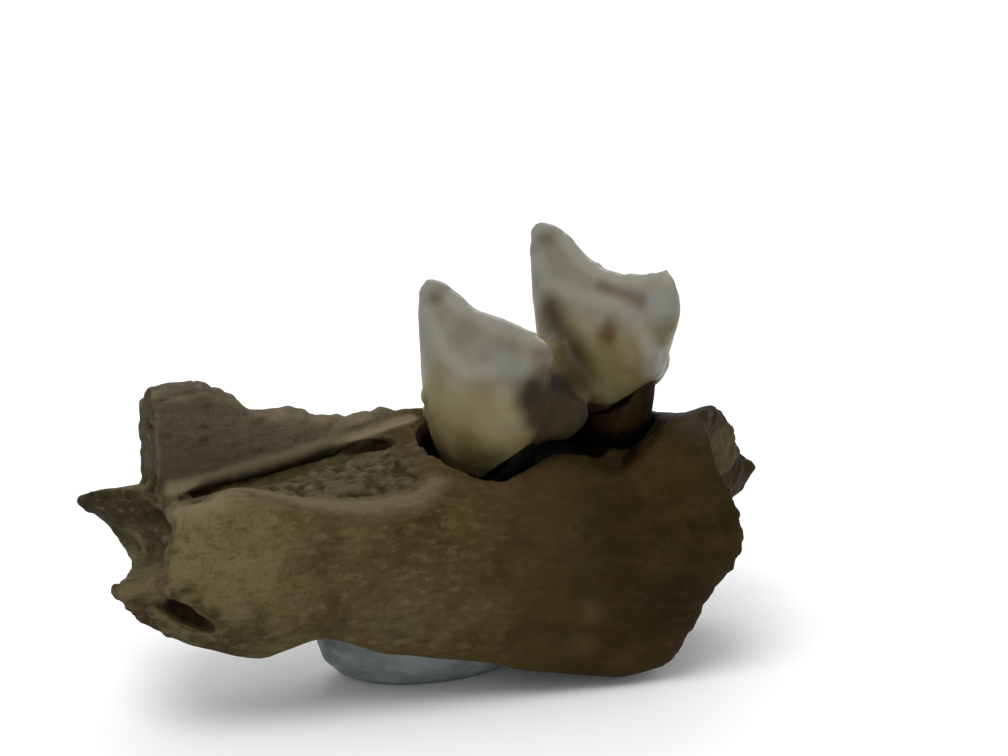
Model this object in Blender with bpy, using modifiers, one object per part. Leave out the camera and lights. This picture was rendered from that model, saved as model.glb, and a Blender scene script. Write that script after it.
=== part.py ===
"""A piece of a kangaroo's lower jaw with one two-crested molar, propped on a lump of putty.

The jaw runs along X with its chewing end at +X, Y points away from the side that is seen, and Z is up.
The sizes below are millimetres, and each mesh is made in metres.
"""

import math

import bmesh
import bpy
import numpy as np
from mathutils import Matrix, Vector, noise

MM = 0.001
GAP = 0.3  # clear space kept between neighbouring pieces
WELD = 0.001  # points nearer than this are one

# The molar's row is turned a little from the jaw's length, and climbs towards the front
CREST_PITCH = 6.5
ROW_TURN = math.radians(20.0)
ROW_RISE = 0.26
BACK_CREST_AT = Vector((2.42, -1.22, 16.52))
CROWN_DEPTH = 6.76
NEAR_NECK_RISE = 1.1  # the enamel ends higher on the near end of a lobe
LOBE_AROUND = 28
LOBE_SQUARENESS = 0.82  # 1 makes a lobe's outline from above an ellipse, less makes it boxier
LOBE_LEVELS = [0.0, 0.08, 0.2, 0.36, 0.52, 0.66, 0.78, 0.86, 0.92, 0.97, 1.0]

# Height of each crest above its own level, from the near cusp to the far cusp
BACK_CREST = [
    (-4.5, -0.7), (-3.6, -0.4), (-1.8, -0.3), (1.4, -0.2),
    (2.8, 0.3), (3.8, 0.7), (4.5, 0.6), (5.0, 0.2),
]
FRONT_CREST = [
    (-4.5, -0.5), (-3.9, -0.1), (-2.6, -0.7), (-0.8, -1.1), (1.2, -1.0),
    (2.8, 0.0), (3.9, 0.5), (4.5, 0.4), (5.0, 0.0),
]

# Reach of a lobe to each side, from its foot at 0 to its crest at 1
BACK_REACH = [
    (0.0, 1.5), (0.15, 2.0), (0.4, 2.1), (0.65, 1.75), (0.82, 1.25), (0.87, 1.05), (1.0, 0.4),
]
FRONT_REACH = [(0.0, 1.5), (0.15, 1.8), (0.4, 1.6), (0.65, 1.2), (0.85, 0.8), (1.0, 0.35)]
BACK_NEAR_REACH = [
    (0.0, 2.4), (0.2, 3.0), (0.45, 3.5), (0.7, 3.9), (0.9, 4.2), (0.97, 4.2), (1.0, 4.1),
]
FRONT_NEAR_REACH = [
    (0.0, 3.1), (0.2, 3.6), (0.45, 4.35), (0.7, 4.9), (0.88, 4.95), (0.97, 4.7), (1.0, 4.4),
]
FAR_REACH = [
    (0.0, 2.7), (0.2, 3.3), (0.45, 3.9), (0.7, 4.65), (0.9, 5.15), (0.97, 5.15), (1.0, 4.9),
]

# Each lobe: place of its crest along the row, the crest's outline and its near reach
BACK_LOBE = (0.0, BACK_CREST, BACK_NEAR_REACH)
FRONT_LOBE = (CREST_PITCH, FRONT_CREST, FRONT_NEAR_REACH)

# Lumps of enamel that join the lobes: place along the row, across it and above it, then reach
LINK = ((3.8, 0.6, -4.2), (2.6, 0.8, 1.0))
WAIST = ((3.3, 0.9, -5.2), (2.6, 2.7, 1.35))
SADDLE = ((2.2, -1.2, -5.35), (2.0, 1.9, 1.1))
ENAMEL_GRID = 0.36
ENAMEL_EASING = 4  # rounds of smoothing that run the lobes and lumps into each other
SHELF = ((7.6, 0.3, -5.55), (2.1, 3.0, 1.25))

ROOT_LENGTH = 5.4
ROOT_TIP_SHARE = 0.35
ROOT_STEP_IN = 0.1  # a root is this much slimmer than the foot of its lobe
ROOT_LEVELS = [0.0, 0.3, 0.6, 0.85, 1.0]
ROOT_TAPER = 1.5  # above 1, a root keeps its width longer before it tapers
SOCKET_CLEAR = GAP + 0.05

# The mouth that is worn round each lobe where it enters the bone, and the hollow between the two
MOUTH_CLEAR = 0.5
MOUTH_DROP = 0.6
MOUTH_LEVELS = [0.0, 0.2, 0.5]
MOUTH_BETWEEN = ((3.3, -0.3, -6.55), (3.1, 2.8, 1.7))

# Outlines of the jaw along X: its broken lower edge, near rim, ridge and the top of its back plate
LOWER_EDGE = [
    (-15.4, 5.7), (-13.8, 4.8), (-12.0, 3.9), (-10.0, 3.0), (-8.2, 2.8),
    (-6.6, 3.8), (-3.6, 2.5), (1.8, 1.2), (7.4, -0.1), (9.8, 0.4),
]
NEAR_RIM = [
    (-13.2, 9.8), (-11.7, 10.0), (-10.5, 10.6), (-9.0, 10.2), (-5.5, 9.3), (-2.4, 9.3), (0.4, 10.3),
    (1.7, 9.4), (4.7, 10.6), (7.2, 9.0), (9.2, 11.2), (11.5, 11.9), (12.8, 12.6),
]
RIDGE = [
    (-12.4, 9.3), (-10.0, 9.4), (-7.0, 9.8), (-2.9, 10.7),
    (-0.5, 11.0), (10.0, 10.4), (12.5, 9.7), (15.2, 7.8),
]
JAW_STATIONS = 22
BONE_UNEVENNESS = 0.16
BONE_GRAIN = 2.2

# The broken ends are hollowed: share that a ring keeps of its size, then how far it is set in and down
LEFT_HOLLOW = [(0.45, 2.2, 0.4), (0.74, 1.1, 0.3)]
RIGHT_HOLLOW = [(0.8, -0.5, 0.0), (0.5, -0.9, 0.0)]
FAR_TOP_DROP = 0.2  # the far wall starts this far under the ridge

# The thin plate at the foot of the rising branch: its broken top, its ends, and its faces' depths
PLATE_TOP = [
    (-12.6, 13.1), (-12.0, 13.7), (-11.0, 13.5), (-9.6, 13.7), (-8.7, 12.9), (-7.9, 12.3),
    (-7.2, 11.9), (-5.6, 11.8), (-4.1, 11.2), (-2.5, 11.3), (1.2, 11.0),
]
PLATE_ENDS = (-12.1, 1.0)
PLATE_STATIONS = 18
PLATE_NEAR = (1.1, 2.2)
PLATE_FAR = (3.3, 3.4)
PLATE_FOOT = 8.6
PLATE_KNEE = 9.5
PLATE_FAR_FOOT = 0.2
# Over the plate: whether on its far face, step back from that face, share of the way up, and drop
PLATE_SECTION = [
    (False, 0.0, 0.5, 0.0), (False, 0.1, 1.0, 0.25), (False, 0.5, 1.0, 0.0),
    (True, -0.6, 1.0, 0.0), (True, 0.0, 1.0, 0.4), (True, 0.6, 0.3, 0.0),
]

# The worn channel that undercuts the ridge, as a line of points, with its reach across and up
CHANNEL = [
    (-11.3, 0.6, 8.9), (-9.6, 0.8, 9.1), (-8.0, 1.1, 9.4), (-6.3, 1.1, 9.6),
    (-4.3, 1.1, 10.0), (-2.9, 1.1, 10.2), (-1.6, 0.8, 10.3),
]
CHANNEL_REACH = (0.8, 0.28)
CHANNEL_AROUND = 10
CHANNEL_TIP_SHARE = 0.45

# Near wall, from the lower edge to the rim: share of the height, left and right end, and depths
# at the left, the middle and the right
NEAR_WALL = [
    (0.0, -14.3, 9.6, -3.9, -4.6, -5.2),
    (0.12, -14.7, 10.3, -4.5, -5.2, -5.6),
    (0.27, -14.5, 11.1, -4.9, -5.5, -5.8),
    (0.42, -14.1, 13.1, -5.1, -5.7, -5.7),
    (0.6, -13.9, 12.9, -5.2, -5.6, -5.5),
    (0.78, -13.6, 11.9, -4.8, -5.2, -5.0),
    (0.93, -13.3, 11.6, -4.3, -4.8, -4.6),
    (1.0, -13.1, 11.5, -3.8, -4.4, -4.1),
]
# Top, from the rim back to the ridge: share of the way, drop at the left, ends and depths as above
TOP = [
    (0.08, 0.1, -12.9, 12.4, -3.0, -3.5, -3.2),
    (0.4, 0.2, -12.6, 13.6, -1.5, -1.6, -1.4),
    (0.7, 0.2, -12.5, 14.7, -0.4, 0.0, 0.0),
    (0.92, 1.0, -12.4, 15.2, 0.2, 0.8, 0.6),
    (1.0, 0.0, -12.4, 15.6, 0.5, 1.2, 1.1),
]
# Far wall and underside: share of the height, ends and depths as above
FAR_WALL = [
    (1.0, -13.6, 16.0, 3.2, 3.6, 2.6),
    (0.82, -16.0, 18.2, 4.2, 4.7, 3.4),
    (0.6, -14.9, 16.4, 4.4, 4.9, 3.8),
    (0.4, -13.6, 16.2, 4.2, 4.7, 3.8),
    (0.2, -13.2, 15.0, 3.6, 4.1, 3.2),
    (0.04, -13.6, 12.4, 2.4, 2.8, 2.0),
    (0.05, -15.6, 10.8, -1.2, -0.8, -1.5),
    (0.01, -14.8, 10.0, -3.2, -4.0, -4.5),
]

# The slanted slot, low on the left of the near wall
SLOT_CENTRE = Vector((-12.9, -5.1, 6.0))
SLOT_REACH = Vector((2.1, 1.5, 0.42))
SLOT_TILT = math.radians(35.0)

# The putty's lump, with its outline as shares of its reach and heights
PUTTY_CENTRE = Vector((0.05, 0.3, 0.0))
PUTTY_REACH = Vector((5.3, 3.0, 0.0))
PUTTY_PROFILE = [(0.68, -0.25), (0.82, 0.1), (0.94, 0.7), (1.0, 1.6), (0.92, 2.5), (0.66, 3.2)]
PUTTY_AROUND = 32


def on_outline(outline, at):
    """The value of an outline of (place, value) points at a place along it."""
    return float(np.interp(at, [point[0] for point in outline], [point[1] for point in outline]))


def lerp(first, last, share):
    return first + (last - first) * share


def clear_scene():
    for old in list(bpy.data.objects):
        bpy.data.objects.remove(old)


def new_collection(name):
    collection = bpy.data.collections.new(name)
    bpy.context.scene.collection.children.link(collection)
    return collection


def new_material(name, colour, roughness):
    material = bpy.data.materials.new(name)
    material.use_nodes = True
    shader = material.node_tree.nodes["Principled BSDF"]
    shader.inputs["Base Color"].default_value = (*colour, 1.0)
    shader.inputs["Roughness"].default_value = roughness
    shader.inputs["Metallic"].default_value = 0.0
    return material


def close_across(shape, row):
    """Closes a long narrow ring by a strip of faces between its two sides."""
    quarter = len(row) // 4
    half = len(row) // 2
    for i in range(-quarter, quarter):
        ends = (row[i], row[i + 1], row[(half - i - 1) % len(row)], row[(half - i) % len(row)])
        corners = list(dict.fromkeys(ends))
        shape.faces.new(corners)


def loft(name, rings, first_tip, last_tip, collection):
    """A closed skin through rings of like counts, each end a fan to its tip, or with no tip a strip."""
    shape = bmesh.new()
    rows = [[shape.verts.new(point * MM) for point in ring] for ring in rings]
    count = len(rings[0])
    for row, following in zip(rows, rows[1:]):
        for i in range(count):
            j = (i + 1) % count
            shape.faces.new((row[i], row[j], following[j], following[i]))
    for row, tip in ((rows[0], first_tip), (rows[-1], last_tip)):
        if tip is None:
            close_across(shape, row)
            continue
        centre = shape.verts.new(tip * MM)
        for i in range(count):
            shape.faces.new((row[i], row[(i + 1) % count], centre))
    bmesh.ops.recalc_face_normals(shape, faces=shape.faces)
    mesh = bpy.data.meshes.new(name)
    shape.to_mesh(mesh)
    shape.free()
    body = bpy.data.objects.new(name, mesh)
    collection.objects.link(body)
    return body


def ball(name, centre, reach, collection, turn=0.0, tilt=0.0):
    """A round lump, stretched to its reach along X, Y and Z, then tilted about Y and turned about Z."""
    shape = bmesh.new()
    turned = Matrix.Rotation(turn, 4, "Z") @ Matrix.Rotation(tilt, 4, "Y")
    stretch = turned @ Matrix.Diagonal((*(reach * MM), 1.0))
    bmesh.ops.create_uvsphere(shape, u_segments=20, v_segments=12, radius=1.0)
    bmesh.ops.transform(shape, matrix=Matrix.Translation(centre * MM) @ stretch, verts=shape.verts)
    mesh = bpy.data.meshes.new(name)
    shape.to_mesh(mesh)
    shape.free()
    body = bpy.data.objects.new(name, mesh)
    collection.objects.link(body)
    return body


def roughen(body, by, grain):
    """Moves each point along its normal by a smooth noise, as weathered bone is uneven."""
    for vert in body.data.vertices:
        vert.co += vert.normal * noise.noise(vert.co / (grain * MM)) * by * MM


def middle(ring):
    return sum(ring, Vector()) / len(ring)


def apply_modifiers(body):
    graph = bpy.context.evaluated_depsgraph_get()
    finished = bpy.data.meshes.new_from_object(body.evaluated_get(graph))
    body.modifiers.clear()
    body.data = finished


def boolean(body, operation, others):
    """Joins the other bodies to this one, or cuts them out of it, and removes them."""
    tools = new_collection(body.name + "_" + operation.lower())
    for other in others:
        for holder in list(other.users_collection):
            holder.objects.unlink(other)
        tools.objects.link(other)
    cut = body.modifiers.new("cut", "BOOLEAN")
    cut.operation = operation
    cut.operand_type = "COLLECTION"
    cut.collection = tools
    apply_modifiers(body)
    for other in others:
        bpy.data.objects.remove(other)
    bpy.data.collections.remove(tools)
    keep_largest(body)


def keep_largest(body):
    """Drops every loose shell of a mesh but the one with the most points, and welds points that touch."""
    shape = bmesh.new()
    shape.from_mesh(body.data)
    unseen = set(shape.verts)
    shells = []
    while unseen:
        front = [unseen.pop()]
        shell = set(front)
        while front:
            for edge in front.pop().link_edges:
                for vert in edge.verts:
                    if vert in unseen:
                        unseen.remove(vert)
                        shell.add(vert)
                        front.append(vert)
        shells.append(shell)
    shells.sort(key=len)
    loose = [vert for shell in shells[:-1] for vert in shell]
    bmesh.ops.delete(shape, geom=loose, context="VERTS")
    bmesh.ops.remove_doubles(shape, verts=shape.verts, dist=WELD * MM)
    shape.to_mesh(body.data)
    shape.free()


def ease(body, grid, rounds):
    """Rebuilds a closed body on an even grid and smooths it, so that what was joined runs together."""
    even = body.modifiers.new("even", "REMESH")
    even.mode = "VOXEL"
    even.voxel_size = grid * MM
    smooth = body.modifiers.new("smooth", "SMOOTH")
    smooth.factor = 0.5
    smooth.iterations = rounds
    apply_modifiers(body)


def row_place(along, across, height):
    """A point of the molar from its place along the row, across it, and above its crest level."""
    turned = Vector((math.cos(ROW_TURN), math.sin(ROW_TURN), 0.0)) * along
    turned += Vector((-math.sin(ROW_TURN), math.cos(ROW_TURN), 0.0)) * across
    return BACK_CREST_AT + turned + Vector((0.0, 0.0, height + ROW_RISE * along))


def lobe_ring(shape, level, grow=0.0, drop=0.0):
    """One ring round a lobe, at a level from its foot at 0 to its crest line at 1."""
    crest_at, crest, near_reach = shape
    ring = []
    for i in range(LOBE_AROUND):
        front = math.cos(math.tau * i / LOBE_AROUND)
        far = math.sin(math.tau * i / LOBE_AROUND)
        half_length = on_outline(FRONT_REACH if front > 0 else BACK_REACH, level) + grow
        half_width = on_outline(FAR_REACH if far > 0 else near_reach, level) + grow
        along = math.copysign(abs(front) ** LOBE_SQUARENESS, front) * half_length
        across = math.copysign(abs(far) ** LOBE_SQUARENESS, far) * half_width
        neck = NEAR_NECK_RISE * max(0.0, -far) ** 2 - CROWN_DEPTH - drop
        ring.append(row_place(crest_at + along, across, lerp(neck, on_outline(crest, across), level)))
    return ring


def row_lump(name, lump, collection):
    """A round lump that is placed and turned with the molar's row."""
    place, reach = lump
    return ball(name, row_place(*place), Vector(reach), collection, turn=ROW_TURN)


def lobe(name, shape, collection):
    rings = [lobe_ring(shape, level) for level in LOBE_LEVELS]
    return loft(name, rings, middle(rings[0]), None, collection)


def molar_crown(collection):
    """Two crested lobes, the link and waist between them, and the low shelf in front."""
    crown = lobe("molar_crown", BACK_LOBE, collection)
    front = lobe("front_lobe", FRONT_LOBE, collection)
    lumps = [row_lump("lump", lump, collection) for lump in (WAIST, SADDLE, SHELF, LINK)]
    boolean(crown, "UNION", [front, *lumps])
    ease(crown, ENAMEL_GRID, ENAMEL_EASING)
    return crown


def root(name, shape, collection, clear=0.0):
    """A tapered root under a lobe, grown all round to the clear space when it cuts its socket."""
    rings = []
    for share in ROOT_LEVELS:
        ring = lobe_ring(shape, 0.0, clear - ROOT_STEP_IN, GAP - clear)
        centre = middle(ring)
        narrow = lerp(1.0, ROOT_TIP_SHARE, share ** ROOT_TAPER)
        deep = Vector((0.0, 0.0, -(ROOT_LENGTH + 2 * clear) * share))
        rings.append([centre + (point - centre) * narrow + deep for point in ring])
    return loft(name, rings, middle(rings[0]), middle(rings[-1]), collection)


def depth_at(ends, s):
    """Depth of a line at the share s of its length, by a parabola through its ends and middle."""
    left, mid, right = ends
    return left * (1 - s) * (1 - 2 * s) + mid * 4 * s * (1 - s) + right * s * (2 * s - 1)


def jaw_ring(s):
    """One ring of the jaw's body at the share s of each line's own length."""
    ring = []
    for share, left, right, *depths in NEAR_WALL:
        x = lerp(left, right, s)
        height = lerp(on_outline(LOWER_EDGE, x), on_outline(NEAR_RIM, x), share)
        ring.append(Vector((x, depth_at(depths, s), height)))
    for share, drop, left, right, *depths in TOP:
        x = lerp(left, right, s)
        height = lerp(on_outline(NEAR_RIM, x), on_outline(RIDGE, x), share) - drop * (1 - s)
        ring.append(Vector((x, depth_at(depths, s), height)))
    for share, left, right, *depths in FAR_WALL:
        x = lerp(left, right, s)
        height = lerp(on_outline(LOWER_EDGE, x), on_outline(RIDGE, x) - FAR_TOP_DROP, share)
        ring.append(Vector((x, depth_at(depths, s), height)))
    return ring


def drawn_in(ring, share, along, down):
    """A ring shrunk towards its middle and moved along X and down, for a broken hollow end."""
    centre = middle(ring)
    return [centre + (point - centre) * share + Vector((along, 0, -down)) for point in ring]


def jaw_body(collection):
    rings = [jaw_ring(i / (JAW_STATIONS - 1)) for i in range(JAW_STATIONS)]
    left = [drawn_in(rings[0], *hollow) for hollow in LEFT_HOLLOW]
    right = [drawn_in(rings[-1], *hollow) for hollow in RIGHT_HOLLOW]
    rings = left + rings + right
    body = loft("jaw_bone", rings, middle(rings[0]), middle(rings[-1]), collection)
    smooth = body.modifiers.new("smooth", "SUBSURF")
    smooth.levels = 1
    smooth.render_levels = 1
    apply_modifiers(body)
    roughen(body, BONE_UNEVENNESS, BONE_GRAIN)
    return body


def back_plate(collection):
    """The foot of the rising branch: a thin plate that stands on the far side of the trough."""
    rings = []
    for i in range(PLATE_STATIONS):
        share = i / (PLATE_STATIONS - 1)
        x = lerp(*PLATE_ENDS, share)
        top = on_outline(PLATE_TOP, x)
        near = lerp(*PLATE_NEAR, share)
        far = lerp(*PLATE_FAR, share)
        ring = [Vector((x, near, PLATE_FOOT))]
        for far_face, step_back, rise, drop in PLATE_SECTION:
            face = far if far_face else near
            ring.append(Vector((x, face + step_back, lerp(PLATE_KNEE, top, rise) - drop)))
        ring.append(Vector((x, far + PLATE_FAR_FOOT, PLATE_FOOT)))
        rings.append(ring)
    return loft("plate", rings, middle(rings[0]), middle(rings[-1]), collection)


def channel(collection):
    """The flat hollow that is cut in under the ridge, thinner at its two ends."""
    rings = []
    for i, place in enumerate(CHANNEL):
        share = CHANNEL_TIP_SHARE if i in (0, len(CHANNEL) - 1) else 1.0
        ring = []
        for j in range(CHANNEL_AROUND):
            angle = math.tau * j / CHANNEL_AROUND
            across = math.cos(angle) * CHANNEL_REACH[0] * share
            rise = math.sin(angle) * CHANNEL_REACH[1] * share
            ring.append(Vector(place) + Vector((0.0, across, rise)))
        rings.append(ring)
    return loft("channel", rings, middle(rings[0]), middle(rings[-1]), collection)


def jaw_bone(collection):
    """The jaw's body and plate in one, cut for the tooth's sockets, the channel and the slot."""
    body = jaw_body(collection)
    boolean(body, "UNION", [back_plate(collection)])
    cutters = [channel(collection), row_lump("between", MOUTH_BETWEEN, collection)]
    for shape in (BACK_LOBE, FRONT_LOBE):
        cutters.append(root("socket", shape, collection, clear=SOCKET_CLEAR))
        mouth = [lobe_ring(shape, level, MOUTH_CLEAR, MOUTH_DROP) for level in MOUTH_LEVELS]
        cutters.append(loft("mouth", mouth, middle(mouth[0]), middle(mouth[-1]), collection))
    cutters.append(ball("slot", SLOT_CENTRE, SLOT_REACH, collection, tilt=SLOT_TILT))
    boolean(body, "DIFFERENCE", cutters)
    return body


def grown_copy(body, by, collection):
    """The body again, swollen outwards, for cutting a neighbour clear of it."""
    copy = bpy.data.objects.new(body.name + "_grown", body.data.copy())
    collection.objects.link(copy)
    swell = copy.modifiers.new("swell", "DISPLACE")
    swell.strength = by * MM
    swell.mid_level = 0.0
    apply_modifiers(copy)
    return copy


def stand_putty(bone, collection):
    """A pressed lump with a flat foot, hollowed on top to hold the bone."""
    rings = []
    for share, height in PUTTY_PROFILE:
        ring = []
        for i in range(PUTTY_AROUND):
            angle = math.tau * i / PUTTY_AROUND
            reach = Vector((math.cos(angle) * PUTTY_REACH.x, math.sin(angle) * PUTTY_REACH.y, 0)) * share
            ring.append(PUTTY_CENTRE + reach + Vector((0, 0, height)))
        rings.append(ring)
    lump = loft("stand_putty", rings, middle(rings[0]), middle(rings[-1]), collection)
    boolean(lump, "DIFFERENCE", [grown_copy(bone, GAP, collection)])
    return lump


def stand_on_origin(bodies):
    """Moves the whole piece so that the middle of its box's underside lies at the origin."""
    corners = [vert.co for body in bodies for vert in body.data.vertices]
    middle_x = (min(point.x for point in corners) + max(point.x for point in corners)) / 2
    middle_y = (min(point.y for point in corners) + max(point.y for point in corners)) / 2
    lowest = min(point.z for point in corners)
    for body in bodies:
        body.data.transform(Matrix.Translation((-middle_x, -middle_y, -lowest)))


clear_scene()
parts = new_collection("kangaroo_tooth")
bone = jaw_bone(parts)
crown = molar_crown(parts)
back_root = root("molar_root_back", BACK_LOBE, parts)
front_root = root("molar_root_front", FRONT_LOBE, parts)
putty = stand_putty(bone, parts)
stand_on_origin([bone, crown, back_root, front_root, putty])
for piece, colour, roughness in (
    (bone, (0.09, 0.06, 0.03), 0.75),
    (crown, (0.32, 0.30, 0.22), 0.3),
    (back_root, (0.05, 0.03, 0.015), 0.6),
    (front_root, (0.05, 0.03, 0.015), 0.6),
    (putty, (0.10, 0.14, 0.16), 0.5),
):
    piece.data.materials.clear()
    piece.data.materials.append(new_material(piece.name, colour, roughness))
    piece.data.shade_smooth()
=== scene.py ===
import math
from itertools import product

import bmesh
import bpy
import numpy as np
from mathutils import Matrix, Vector


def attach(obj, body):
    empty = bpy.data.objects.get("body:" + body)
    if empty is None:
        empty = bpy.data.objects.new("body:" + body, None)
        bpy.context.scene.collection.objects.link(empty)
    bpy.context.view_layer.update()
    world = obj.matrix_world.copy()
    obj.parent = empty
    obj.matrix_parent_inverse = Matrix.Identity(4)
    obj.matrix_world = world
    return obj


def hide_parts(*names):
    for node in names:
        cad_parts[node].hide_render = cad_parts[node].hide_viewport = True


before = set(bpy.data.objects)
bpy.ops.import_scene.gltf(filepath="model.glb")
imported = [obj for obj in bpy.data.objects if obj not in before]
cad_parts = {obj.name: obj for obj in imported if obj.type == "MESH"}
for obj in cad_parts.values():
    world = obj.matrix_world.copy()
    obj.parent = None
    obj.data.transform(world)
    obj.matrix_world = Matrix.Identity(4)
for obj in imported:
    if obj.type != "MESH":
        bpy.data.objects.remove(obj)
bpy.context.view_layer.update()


# The floor is a sheet of white card that runs out of sight on every side.
# The light is a white room with a broad soft lamp above in front, and a weaker one behind.
# Lengths from here on are in millimetres, and METRE turns them into metres.
METRE = 0.001
FLOOR_REACH = 2500.0
FLOOR_WHITE = (0.95, 0.95, 0.945, 1.0)
FLOOR_CLOUDING = 0.02
FLOOR_CLOUD_SIZE = 60.0
ROOM_WHITE = (0.97, 0.985, 1.0, 1.0)
ROOM_STRENGTH = 0.78
LAMP_SIZE = 240.0
# Each lamp's name, place and power.
LAMPS = (
    ("front_lamp", Vector((-130.0, -120.0, 330.0)), 0.6),
    ("back_lamp", Vector((110.0, 260.0, 220.0)), 0.35),
)
VIEW_TARGET = Vector((2.428, 0.012, 13.25))
VIEW_AZIMUTH = math.radians(-20.0)
VIEW_ELEVATION = math.radians(18.0)
VIEW_DISTANCE = 166.0
LENS = 135.0
FILM_WIDTH = 36.0
NEAREST_SEEN = 5.0
FARTHEST_SEEN = 10000.0
# How far a stain's edge wanders, as a share of its reach.
SPOT_WANDER = 1.6
NOISE_ROUGHNESS = 0.55


class Wire:
    """A value that runs through a node tree; arithmetic with wires lays down Math nodes."""

    def __init__(self, tree, socket):
        self.tree = tree
        self.socket = socket

    def maths(self, operation, first, second):
        settings = {"operation": operation}
        return lay(self.tree, "ShaderNodeMath", settings, {0: first, 1: second})

    def __add__(self, other):
        return self.maths("ADD", self, other)

    def __sub__(self, other):
        return self.maths("SUBTRACT", self, other)

    def __rsub__(self, other):
        return self.maths("SUBTRACT", other, self)

    def __mul__(self, other):
        return self.maths("MULTIPLY", self, other)

    def __rtruediv__(self, other):
        return self.maths("DIVIDE", other, self)

    def step(self, low, high):
        """0 below low and 1 above high, with a smooth rise between; low may be the greater."""
        settings = {"interpolation_type": "SMOOTHSTEP"}
        return lay(self.tree, "ShaderNodeMapRange", settings, {0: self, 1: low, 2: high})

    __radd__ = __add__
    __rmul__ = __mul__


def lay(tree, kind, settings, sockets, output=0):
    """Adds one node, with its settings first and then its sockets, and gives the wire that leaves it."""
    node = tree.nodes.new(kind)
    for name, value in settings.items():
        setattr(node, name, value)
    for name, value in sockets.items():
        if isinstance(value, Wire):
            tree.links.new(value.socket, node.inputs[name])
        else:
            node.inputs[name].default_value = value
    return Wire(tree, node.outputs[output])


def tint(red, green, blue):
    """A colour for a shader from the 0 to 255 values that a screen shows."""
    def linear(value):
        share = value / 255
        return share / 12.92 if share < 0.04045 else ((share + 0.055) / 1.055) ** 2.4
    return (linear(red), linear(green), linear(blue), 1.0)


class Finish:
    """A material of this object: one Principled surface and the nodes that feed it."""

    def __init__(self, name, **fixed):
        self.material = bpy.data.materials.new(name)
        self.material.use_nodes = True
        self.tree = self.material.node_tree
        self.surface = self.tree.nodes["Principled BSDF"]
        for socket, value in fixed.items():
            self.surface.inputs[socket.replace("_", " ")].default_value = value
        place = lay(self.tree, "ShaderNodeTexCoord", {}, {}, output=3)
        self.place = self.stretch(place, (1 / METRE, 1 / METRE, 1 / METRE))

    def stretch(self, place, by, turn=(0.0, 0.0, 0.0)):
        """A place scaled along its three axes and turned."""
        return lay(self.tree, "ShaderNodeMapping", {}, {"Vector": place, "Scale": by, "Rotation": turn})

    def axis(self, name):
        """One coordinate of the place, in millimetres."""
        apart = self.tree.nodes.new("ShaderNodeSeparateXYZ")
        self.tree.links.new(self.place.socket, apart.inputs[0])
        return Wire(self.tree, apart.outputs[name])

    def spot(self, place, reach, uneven):
        """1 round a place and 0 from its reach outwards, with an outline that a noise makes uneven."""
        settings = {"operation": "DISTANCE"}
        away = lay(self.tree, "ShaderNodeVectorMath", settings, {0: self.place, 1: place}, output=1)
        return (away + (uneven - 0.5) * reach * SPOT_WANDER).step(reach, 0.0)

    def noise(self, size, detail=3.0, place=None, warp=0.0):
        """Cloudy values about 0.5, with patches about as wide as size."""
        sockets = {"Vector": place or self.place, "Scale": 1 / size, "Detail": detail}
        sockets.update({"Roughness": NOISE_ROUGHNESS, "Distortion": warp})
        return lay(self.tree, "ShaderNodeTexNoise", {}, sockets)

    def painted(self, name):
        """The mask of that name, which the mesh carries at its points."""
        settings = {"attribute_name": name}
        return lay(self.tree, "ShaderNodeAttribute", settings, {}, output=2)

    def blend(self, share, under, over):
        """One colour laid over another, in a share from 0 to 1."""
        settings = {"data_type": "RGBA", "clamp_factor": True}
        return lay(self.tree, "ShaderNodeMix", settings, {0: share, 6: under, 7: over}, output=2)

    def bump(self, height, distance, strength=1.0):
        sockets = {"Height": height, "Distance": distance * METRE, "Strength": strength}
        return lay(self.tree, "ShaderNodeBump", {}, sockets)

    def feed(self, **wires):
        """Joins the wires to the surface's sockets of those names, and gives the finished material."""
        for socket, wire in wires.items():
            self.tree.links.new(wire.socket, self.surface.inputs[socket.replace("_", " ")])
        return self.material


def floor_finish():
    card = Finish("white_card", Roughness=0.9, Specular_IOR_Level=0.1)
    cloud = card.noise(FLOOR_CLOUD_SIZE, detail=2.0)
    grey = tuple(value * (1 - FLOOR_CLOUDING) for value in FLOOR_WHITE[:3]) + (1.0,)
    return card.feed(Base_Color=card.blend(cloud, FLOOR_WHITE, grey))


def lay_floor():
    reach = FLOOR_REACH * METRE
    mesh = bpy.data.meshes.new("floor")
    corners = [(-reach, -reach, 0), (reach, -reach, 0), (reach, reach, 0), (-reach, reach, 0)]
    mesh.from_pydata(corners, [], [(0, 1, 2, 3)])
    mesh.materials.append(floor_finish())
    floor = bpy.data.objects.new("floor", mesh)
    bpy.context.scene.collection.objects.link(floor)


def light_room():
    room = bpy.data.worlds.new("room")
    room.use_nodes = True
    sky = room.node_tree.nodes["Background"]
    sky.inputs["Color"].default_value = ROOM_WHITE
    sky.inputs["Strength"].default_value = ROOM_STRENGTH
    bpy.context.scene.world = room
    for name, place, power in LAMPS:
        lamp = bpy.data.lights.new(name, "AREA")
        lamp.shape = "DISK"
        lamp.size = LAMP_SIZE * METRE
        lamp.energy = power
        hung = bpy.data.objects.new(name, lamp)
        hung.location = place * METRE
        hung.rotation_euler = (-place).to_track_quat("-Z", "Y").to_euler()
        bpy.context.scene.collection.objects.link(hung)


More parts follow.
